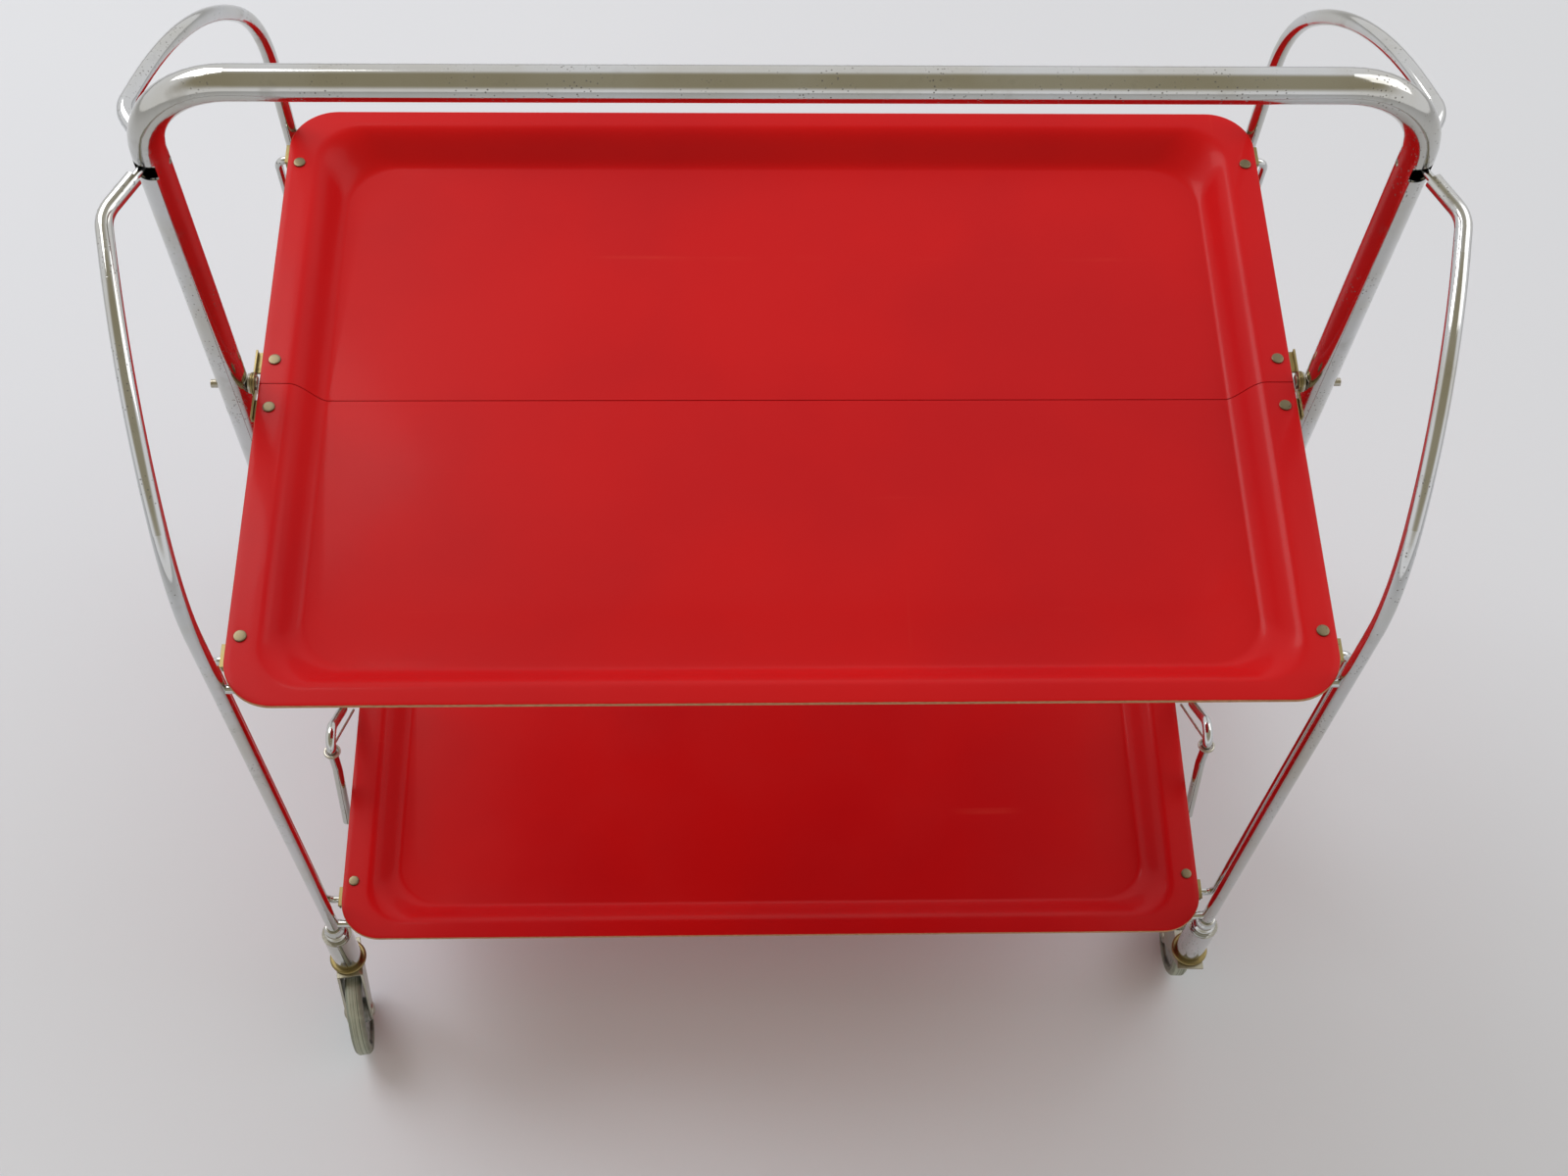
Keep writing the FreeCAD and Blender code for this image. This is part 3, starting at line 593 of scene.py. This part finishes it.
@dataclass
class TrayHalf:
    """One half of a pressed tray: flat rim, wall in a smooth S, flat floor and a cut at the fold."""

    level: Level
    end: End
    side_flange: float = 0.016
    end_flange: float = 0.0095
    side_slope: float = 0.021
    end_slope: float = 0.0225
    rim_corner: float = 0.028
    mouth_corner: float = 0.026
    floor_corner: float = 0.031
    wall_power: float = 1.15
    wall: float = 0.003
    edge_round: float = 0.0007
    wall_rings: int = 22
    edge_steps: int = 5
    side_steps: int = 26
    corner_steps: int = 18
    end_steps: int = 64
    floor_rows: int = 10

    @property
    def node(self) -> str:
        """Name of the frame's node."""
        return f"{self.level.value}_{self.end.word}_tray_half"

    def rings(self) -> dict[str, np.ndarray]:
        """Rings from the floor out over the rim, round the edge and back below.

        The wall falls by depth * s(q), s the smooth step 3q^2 - 2q^3 and q the share across the slope
        raised to the wall power. The edge is a half round of the edge radius above and below.

        Returns:
            Inset at the sides and the end, corner radius, height below the rim and bareness of each ring.
        """
        low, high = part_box(self.node)
        depth = high.z - low.z - self.wall
        share = np.linspace(1.0, 0.0, self.wall_rings)
        eased = share ** self.wall_power
        fall = depth * (3 * eased ** 2 - 2 * eased ** 3)
        lip = np.linspace(1.0, 0.0, self.edge_steps)[1:-1]
        bend = np.linspace(0.0, math.pi / 2, self.edge_steps)
        inset_side = np.concatenate([self.side_flange + self.side_slope * share, self.side_flange * lip,
                                     self.edge_round * (1 - np.sin(bend))])
        inset_end = np.concatenate([self.end_flange + self.end_slope * share, self.end_flange * lip,
                                    self.edge_round * (1 - np.sin(bend))])
        corner = np.concatenate([self.mouth_corner + (self.floor_corner - self.mouth_corner) * share,
                                 self.rim_corner + (self.mouth_corner - self.rim_corner) * lip,
                                 np.full(self.edge_steps, self.rim_corner)])
        fall = np.concatenate([fall, np.zeros(len(lip)), self.edge_round * (1 - np.cos(bend))])
        bare = np.concatenate([np.zeros(len(share) + len(lip)), np.sin(bend) ** 2])
        under = np.where(bare > 0, self.wall - fall, self.wall + fall)
        return {
            "inset_side": np.concatenate([inset_side, inset_side[::-1]]),
            "inset_end": np.concatenate([inset_end, inset_end[::-1]]),
            "corner": np.concatenate([corner, corner[::-1]]),
            "fall": np.concatenate([fall, under[::-1]]),
            "bare": np.concatenate([bare, bare[::-1]]),
        }

    def outline(self, half_x: np.ndarray, half_y: np.ndarray, corner: np.ndarray, fold: float) -> np.ndarray:
        """U-shaped outlines from the left end of the fold round the tray to its right end.

        Args:
            half_x: half width of each ring.
            half_y: depth of each ring from the middle of the tray.
            corner: corner radius of each ring.
            fold: distance of the cut from the middle.

        Returns:
            X and unsigned Y by ring and point.
        """
        side = np.linspace(0.0, 1.0, self.side_steps)[None, :]
        turn = np.linspace(math.pi, math.pi / 2, self.corner_steps)[None, 1:]
        along = np.linspace(0.0, 1.0, self.end_steps)[None, 1:-1]
        a, b, r = half_x[:, None], half_y[:, None], corner[:, None]
        left = np.stack([-a + 0 * side, fold + (b - r - fold) * side], axis=-1)
        bend = np.stack([r - a + r * np.cos(turn), b - r + r * np.sin(turn)], axis=-1)
        front = np.stack([(r - a) * (1 - 2 * along), b + 0 * along], axis=-1)
        first = np.concatenate([left, bend], axis=1)
        last = first[:, ::-1] * np.array([-1.0, 1.0])
        return np.concatenate([first, front, last], axis=1)

    def build(self, finish: bpy.types.Material) -> bpy.types.Object:
        """Builds the half over its node, dresses it and lets it ride.

        Args:
            finish: material of the lacquer.

        Returns:
            The piece.
        """
        low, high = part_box(self.node)
        sign = self.end.value
        fold = min(abs(low.y), abs(high.y))
        reach = max(abs(low.y), abs(high.y))
        rings = self.rings()
        plan = self.outline(high.x - rings["inset_side"], reach - rings["inset_end"], rings["corner"], fold)
        height = high.z - rings["fall"]
        count, columns = plan.shape[:2]
        shell = np.concatenate([plan[..., :1], sign * plan[..., 1:],
                                np.broadcast_to(height[:, None, None], (count, columns, 1))], axis=-1)
        across = np.linspace(0.0, 1.0, columns)
        steps = np.linspace(0.0, 1.0, self.floor_rows)[:, None, None]
        floors = []
        for ring in (0, count - 1):
            edge = shell[ring]
            line = np.stack([edge[0, 0] * (1 - 2 * across), np.full(columns, sign * fold),
                             np.full(columns, edge[0, 2])], axis=-1)
            floors.append(edge * (1 - steps) + line * steps)
        points = np.concatenate([part.reshape(-1, 3) for part in (shell, *floors)])
        top_start = count * columns
        under_start = top_start + self.floor_rows * columns
        ring = np.arange(count // 2 - 1)
        cuts = []
        for column in (0, columns - 1):
            corners = np.stack([ring, ring + 1, count - 2 - ring, count - 1 - ring], axis=-1)
            cuts.append(corners * columns + column)
        last_top = top_start + (self.floor_rows - 1) * columns + np.arange(columns - 1)
        last_under = under_start + (self.floor_rows - 1) * columns + np.arange(columns - 1)
        cuts.append(np.stack([last_top, last_top + 1, last_under + 1, last_under], axis=-1))
        faces = np.concatenate([grid_faces(count, columns), grid_faces(self.floor_rows, columns, top_start),
                                grid_faces(self.floor_rows, columns, under_start), *cuts])
        bare = np.zeros(len(points))
        bare[:top_start] = np.repeat(rings["bare"], columns)
        piece = make_piece(f"{self.node}_pressed", points, faces, {"bare_edge": bare})
        piece.data.materials.append(finish)
        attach(piece, f"{self.level.value}_{self.end.word}_half")
        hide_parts(self.node)
        return piece


@dataclass
class RivetRow:
    """Four rivets of one tray half, each with a low head, a shank and a closed tail."""

    level: Level
    end: End
    edge: float = 0.0075
    places: tuple[float, float] = (0.0167, 0.166)
    head: float = 0.0035
    rise: float = 0.0011
    shank: float = 0.002
    tail: float = 0.003
    tail_rise: float = 0.001
    flatness: float = 0.12
    head_steps: int = 14
    tail_steps: int = 5
    sectors: int = 40

    def profile(self, under: float) -> np.ndarray:
        """Radius and height of a rivet from the top of its head to the end of its tail.

        Args:
            under: height of the tail's seat, below zero at the rim.

        Returns:
            One row a point.
        """
        angle = np.linspace(0.0, math.pi / 2, self.head_steps)
        head = np.stack([self.head * np.sin(angle), self.rise * np.cos(angle) ** self.flatness], axis=-1)
        below = rounded_line([(self.shank, 0.0), (self.shank, under), (self.tail, under),
                              (self.tail, under - self.tail_rise), (0.0, under - self.tail_rise)],
                             [0.0, 0.0, self.tail_rise / 2], self.tail_steps)
        return np.concatenate([head, below])

    def build(self, finish: bpy.types.Material) -> bpy.types.Object:
        """Builds the row over its node and lets it ride."""
        stem = f"{self.level.value}_{self.end.word}"
        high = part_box(f"{stem}_tray_half")[1]
        node = f"{stem}_rivets"
        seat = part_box(node)[0].z + self.tail_rise
        profile = self.profile(seat - high.z)
        grids = []
        for side in Side:
            for place in self.places:
                centre = np.array([side.value * (high.x - self.edge), self.end.value * place, high.z])
                grids.append(lathe(profile, centre, UPRIGHT, self.sectors))
        size = grids[0].shape[0] * grids[0].shape[1]
        faces = np.concatenate([grid_faces(*grids[0].shape[:2], start=n * size, wrap=True)
                                for n in range(len(grids))])
        piece = make_piece(f"{node}_domed", np.concatenate([g.reshape(-1, 3) for g in grids]), faces)
        piece.data.materials.append(finish)
        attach(piece, f"{stem}_half")
        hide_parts(node)
        return piece


@dataclass
class Caster:
    """Turned pieces of one caster: ringed collar, wheel with its side discs, and axle with domed heads."""

    end: End
    side: Side
    wheel_radius: float = 0.032
    half_width: float = 0.00575
    crown: float = 0.002
    web: float = 0.003
    hub: float = 0.009
    hub_half: float = 0.00705
    rim: float = 0.007
    bore: float = 0.00306
    axle_radius: float = 0.003
    axle_half: float = 0.00925
    axle_head: float = 0.005
    axle_rise: float = 0.002
    collar_bore: float = 0.00452
    collar_foot: float = 0.0078
    collar_ring: float = 0.0070
    collar_neck: float = 0.0058
    collar_shares: tuple[float, ...] = (0.25, 0.375, 0.5, 0.75, 0.875)
    collar_edge: float = 0.0006
    collar_foot_round: float = 0.0012
    collar_ring_round: float = 0.0009
    web_round: float = 0.0012
    rim_round: float = 0.0016
    tread_round: float = 0.0022
    disc_margin: float = 0.0005
    dome_steps: int = 8
    sectors: int = 72

    @property
    def corner(self) -> str:
        """Name of the corner as the frame writes it."""
        return f"{self.end.word}_{self.side.word}"

    def turned(self, suffix: str, word: str, body: str, profile: np.ndarray, centre: np.ndarray,
               axis: np.ndarray, masks: dict[str, np.ndarray] | None = None) -> bpy.types.Object:
        """Makes one turned piece, lets it ride and stand for its node.

        Args:
            suffix: last word of the node's name.
            word: last word of the piece's name.
            body: last word of the body's name.
            profile: radius and height of each point.
            centre: point of the axis.
            axis: direction of the axis.
            masks: a value for each point of the profile, by name.

        Returns:
            The piece.
        """
        grid = lathe(profile, centre, axis, self.sectors)
        closed = np.concatenate([grid, grid[:1]])
        spread = {key: np.repeat(np.append(value, value[0]), self.sectors)
                  for key, value in (masks or {}).items()}
        node = f"{self.corner}_caster_{suffix}"
        piece = make_piece(f"{node}_{word}", closed.reshape(-1, 3),
                           grid_faces(*closed.shape[:2], wrap=True), spread)
        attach(piece, f"{self.corner}_{body}")
        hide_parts(node)
        return piece

    def build_wheel(self, finish: bpy.types.Material) -> bpy.types.Object:
        """Wheel: rounded tread, sunk web and hub, closed at the bore."""
        roll = joint(f"{self.corner}_wheel_roll")
        half, web, out = self.half_width, self.web, self.wheel_radius
        inner = out - self.rim
        right = [(self.bore, self.hub_half), (self.hub, self.hub_half), (self.hub, web), (inner, web),
                 (inner, half), (out - self.crown, half), (out, half - self.crown)]
        left = [(radius, -height) for radius, height in reversed(right)]
        soft = [self.web_round] * 4 + [self.rim_round, self.tread_round]
        profile = rounded_line(right + left, soft + soft[::-1])
        radius = profile[:, 0]
        on_disc = (radius < inner - self.disc_margin) & (radius > self.bore + self.disc_margin)
        masks = {"tread": np.clip((radius - inner) / self.rim, 0.0, 1.0), "lane": profile[:, 1] + radius,
                 "disc": on_disc.astype(float)}
        piece = self.turned("wheel", "worn", "wheel", profile, np.array(roll["pos_m"]),
                            np.array(roll["axis"], float), masks)
        piece.data.materials.append(finish)
        return piece

    def build_axle(self, finish: bpy.types.Material) -> bpy.types.Object:
        """Axle with a domed head at each end."""
        roll = joint(f"{self.corner}_wheel_roll")
        angle = np.linspace(0.0, math.pi / 2, self.dome_steps)
        dome = np.stack([self.axle_head * np.sin(angle),
                         self.axle_half + self.axle_rise * np.cos(angle)], axis=-1)
        half = np.concatenate([dome, [(self.axle_radius, self.axle_half)]])
        profile = np.concatenate([half, half[::-1] * np.array([1.0, -1.0])])
        piece = self.turned("axle", "domed", "caster", profile, np.array(roll["pos_m"]),
                            np.array(roll["axis"], float))
        piece.data.materials.append(finish)
        return piece

    def build_collar(self, finish: bpy.types.Material) -> bpy.types.Object:
        """Collar of two rounded rings and a neck round the foot of the leg."""
        low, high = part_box(f"{self.corner}_caster_collar")
        top = high.z - low.z
        foot_top, neck, ring_low, ring_top, upper_neck = (top * share for share in self.collar_shares)
        corners = [(self.collar_bore, 0.0), (self.collar_foot, 0.0), (self.collar_foot, foot_top),
                   (self.collar_neck, neck), (self.collar_ring, ring_low), (self.collar_ring, ring_top),
                   (self.collar_neck, upper_neck), (self.collar_neck, top), (self.collar_bore, top)]
        edge, ring = self.collar_edge, self.collar_ring_round
        profile = rounded_line(corners, [edge, self.collar_foot_round, edge, ring, ring, edge, edge])
        centre = np.array([(low.x + high.x) / 2, (low.y + high.y) / 2, low.z])
        piece = self.turned("collar", "ringed", "leg", profile, centre, UPRIGHT)
        piece.data.materials.append(finish)
        return piece


@dataclass
class EasedPlate:
    """Copy of a stamped frame node whose sharp edges are broken as a press leaves them."""

    node: str
    ease: float
    flat_angle: float = math.radians(1.0)
    edge_angle: float = math.radians(40.0)
    segments: int = 3

    def build(self, finish: bpy.types.Material, slot: str) -> bpy.types.Object:
        """Copies the node, merges its seams, breaks its edges and lets it stand for the node.

        Args:
            finish: material of the plate.
            slot: not used.

        Returns:
            The piece.
        """
        source = frame["nodes"][self.node]
        mesh = source.data.copy()
        work = bmesh.new()
        work.from_mesh(mesh)
        bmesh.ops.remove_doubles(work, verts=work.verts, dist=MERGE_DISTANCE)
        bmesh.ops.dissolve_limit(work, angle_limit=self.flat_angle, verts=work.verts, edges=work.edges)
        work.to_mesh(mesh)
        work.free()
        mesh.name = f"{self.node}_eased"
        mesh.materials.clear()
        mesh.materials.append(finish)
        mesh.shade_smooth()
        mesh.set_sharp_from_angle(angle=SHARP_ANGLE)
        piece = bpy.data.objects.new(mesh.name, mesh)
        bpy.context.scene.collection.objects.link(piece)
        bevel = piece.modifiers.new("broken_edges", "BEVEL")
        bevel.width = self.ease
        bevel.segments = self.segments
        bevel.limit_method = "ANGLE"
        bevel.angle_limit = self.edge_angle
        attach(piece, source["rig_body"])
        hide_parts(self.node)
        return piece


class Cart:
    """The whole cart: frame nodes in their finishes and the pieces built over them."""

    plate_ease = 0.00028
    washer_ease = 0.0012

    def __init__(self) -> None:
        """Builds each finish once."""
        finishes = [LacquerFinish(), CHROME, YELLOW_ZINC, RIVET_ZINC, FORK_ZINC, PIN_STEEL, WheelFinish(),
                    PlasticFinish()]
        self.finish = {finish.name: finish.build() for finish in finishes}

    @staticmethod
    def finish_of(node: str) -> str:
        """Name of the finish that a frame node wears.

        Args:
            node: name of the node.

        Returns:
            Name of the finish.
        """
        endings = [("tray_half", "tray_lacquer"), ("rivets", "rivet_zinc"), ("brackets", "yellow_zinc"),
                   ("_pins", "pin_steel"), ("washers", "pin_steel"), ("hooks", "pin_steel"),
                   ("end_caps", "cap_plastic"), ("_washer", "yellow_zinc"), ("_fork", "fork_zinc"),
                   ("_axle", "fork_zinc"), ("_wheel", "wheel_grey")]
        return next((finish for ending, finish in endings if node.endswith(ending)), "chrome")

    def dress_nodes(self) -> None:
        """Gives every frame node its finish."""
        for name, node in frame["nodes"].items():
            node.data.materials.clear()
            node.data.materials.append(self.finish[self.finish_of(name)])

    def build(self) -> None:
        """Builds the trays, rivets, casters and plates in order and reports each piece."""
        self.dress_nodes()
        pieces = []
        for level in Level:
            for end in End:
                pieces.append(TrayHalf(level, end).build(self.finish["tray_lacquer"]))
                pieces.append(RivetRow(level, end).build(self.finish["rivet_zinc"]))
        for end in End:
            for side in Side:
                caster = Caster(end, side)
                pieces.append(caster.build_collar(self.finish["chrome"]))
                pieces.append(caster.build_axle(self.finish["fork_zinc"]))
                pieces.append(caster.build_wheel(self.finish["wheel_grey"]))
        for name in sorted(frame["nodes"]):
            if name.endswith(("brackets", "_fork", "_washer")):
                finish = self.finish_of(name)
                ease = self.washer_ease if name.endswith("_washer") else self.plate_ease
                pieces.append(EasedPlate(name, ease).build(self.finish[finish], finish))
        for piece in pieces:
            LOG.info("%s: %d faces", piece.name, len(piece.data.polygons))


def turn_in_plane(angle: float) -> np.ndarray:
    """Matrix that turns the first two axes by the angle and keeps the third."""
    cosine, sine = math.cos(angle), math.sin(angle)
    return np.array([[cosine, -sine, 0], [sine, cosine, 0], [0, 0, 1]])


@dataclass(frozen=True)
class PhotoCamera:
    """Camera at the photograph's viewing angle."""

    place: Point = (-0.0350, -0.6894, 1.4950)
    pitch: float = 60.69
    yaw: float = 3.58
    roll: float = 2.87
    focal_pixels: float = 2090.0
    image_width: float = 1600.0
    sensor: float = 36.0
    near: float = 0.05
    far: float = 60.0

    def build(self) -> bpy.types.Object:
        """Makes the camera from its turns: pitch down from level, yaw about Z, roll about the view."""
        pitch, yaw, roll = (math.radians(angle) for angle in (self.pitch, self.yaw, self.roll))
        level = np.array([[1, 0, 0], [0, -math.sin(pitch), -math.cos(pitch)],
                          [0, math.cos(pitch), -math.sin(pitch)]])
        right, down, ahead = turn_in_plane(roll) @ level @ turn_in_plane(yaw)
        data = bpy.data.cameras.new("photo_camera")
        data.sensor_width = self.sensor
        data.lens = self.focal_pixels / self.image_width * self.sensor
        data.clip_start = self.near
        data.clip_end = self.far
        camera = bpy.data.objects.new("photo_camera", data)
        turn = Matrix([Vector(right), Vector(-down), Vector(-ahead)]).transposed().to_4x4()
        camera.matrix_world = Matrix.Translation(self.place) @ turn
        bpy.context.scene.collection.objects.link(camera)
        bpy.context.scene.camera = camera
        return camera


@dataclass(frozen=True)
class Studio:
    """Pale floor, soft lamps and a white surround."""

    floor_half: float = 6.0
    key_place: Point = (-1.5, 1.3, 2.4)
    key_size: float = 1.5
    key_power: float = 29.0
    fill_place: Point = (1.9, 0.6, 2.2)
    fill_size: float = 1.8
    fill_power: float = 12.0
    aim: Point = (0.0, 0.0, 0.4)
    horizon: Colour = (1.0, 1.0, 1.0)
    overhead: Colour = (0.40, 0.36, 0.25)
    surround: float = 0.86
    front_share: float = 0.45
    pale_below: float = 0.5
    dim_above: float = 0.9

    def build(self) -> None:
        """Makes the floor, the lamps and the surround."""
        corner = np.array([(-1, -1, 0), (1, -1, 0), (1, 1, 0), (-1, 1, 0)], float) * self.floor_half
        mesh = bpy.data.meshes.new("studio_floor")
        mesh.from_pydata(corner.tolist(), [], [(0, 1, 2, 3)])
        floor = bpy.data.objects.new("studio_floor", mesh)
        mesh.materials.append(FloorFinish().build())
        bpy.context.scene.collection.objects.link(floor)
        self.lamp("key_lamp", self.key_place, self.key_size, self.key_power)
        self.lamp("fill_lamp", self.fill_place, self.fill_size, self.fill_power)
        self.world()
        bpy.context.scene.view_settings.view_transform = "Standard"

    def lamp(self, name: str, place: Point, size: float, power: float) -> None:
        """Square soft lamp aimed at the cart."""
        data = bpy.data.lights.new(name, "AREA")
        data.shape = "SQUARE"
        data.size = size
        data.energy = power
        lamp = bpy.data.objects.new(name, data)
        lamp.location = place
        lamp.rotation_euler = (Vector(self.aim) - Vector(place)).to_track_quat("-Z", "Y").to_euler()
        bpy.context.scene.collection.objects.link(lamp)

    def world(self) -> None:
        """Surround that is white behind and near the horizon, and a dim warm tone overhead and in front."""
        shader = Shader(bpy.data.worlds.new("studio_surround"))
        direction = shader.node("ShaderNodeTexCoord", output="Generated")
        height, ahead = (shader.node("ShaderNodeSeparateXYZ", inputs={"Vector": direction}, output=axis)
                         for axis in "ZY")
        dim = (height - ahead * self.front_share).ramp(self.pale_below, self.dim_above)
        colour = shader.mix(dim, self.horizon, self.overhead)
        light = shader.node("ShaderNodeBackground", inputs={"Color": colour, "Strength": self.surround})
        shader.node("ShaderNodeOutputWorld", inputs={"Surface": light})
        bpy.context.scene.world = shader.owner


def main() -> None:
    """Builds the cart, the studio and the camera."""
    logging.basicConfig(level=logging.INFO, format="%(message)s")
    Cart().build()
    Studio().build()
    PhotoCamera().build()


if __name__ == "__main__":
    main()
